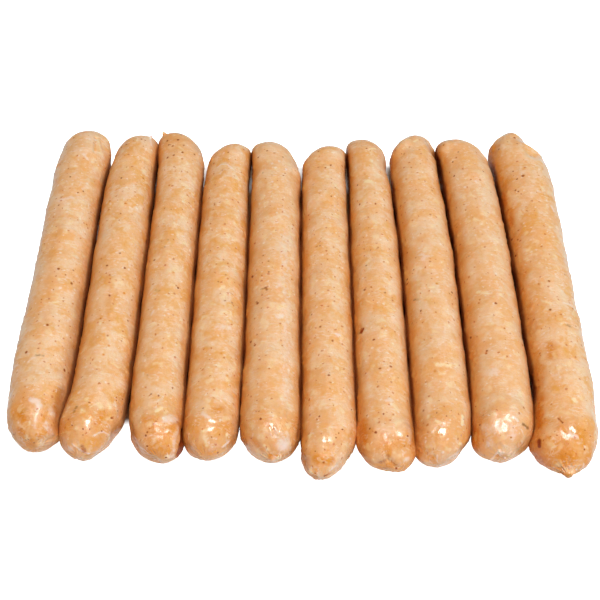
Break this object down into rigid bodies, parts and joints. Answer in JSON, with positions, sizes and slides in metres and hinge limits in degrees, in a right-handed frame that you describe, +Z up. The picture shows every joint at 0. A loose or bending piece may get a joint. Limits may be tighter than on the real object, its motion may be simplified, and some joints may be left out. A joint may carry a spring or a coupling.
{
  "type": "row of sausage links",
  "caption": "Raw fresh sausage links lying side by side in a close row, long and plump with rounded ends that lean together in pairs, in a thin pale casing flecked with herbs.",
  "frame": {"origin": "middle of the row, on the surface that it lies on", "axes": "+X across the row, +Y along the links from the near ends to the far ones, +Z up"},
  "size_m": [0.2544, 0.217, 0.0262],
  "materials": {
    "casing": "moist, slightly translucent natural casing over pale raw meat"
  },
  "bodies": {
    "root": {"link_01": "casing", "link_02": "casing", "link_03": "casing", "link_04": "casing", "link_05": "casing", "link_06": "casing", "link_07": "casing", "link_08": "casing", "link_09": "casing", "link_10": "casing"}
  },
  "joints": []
}
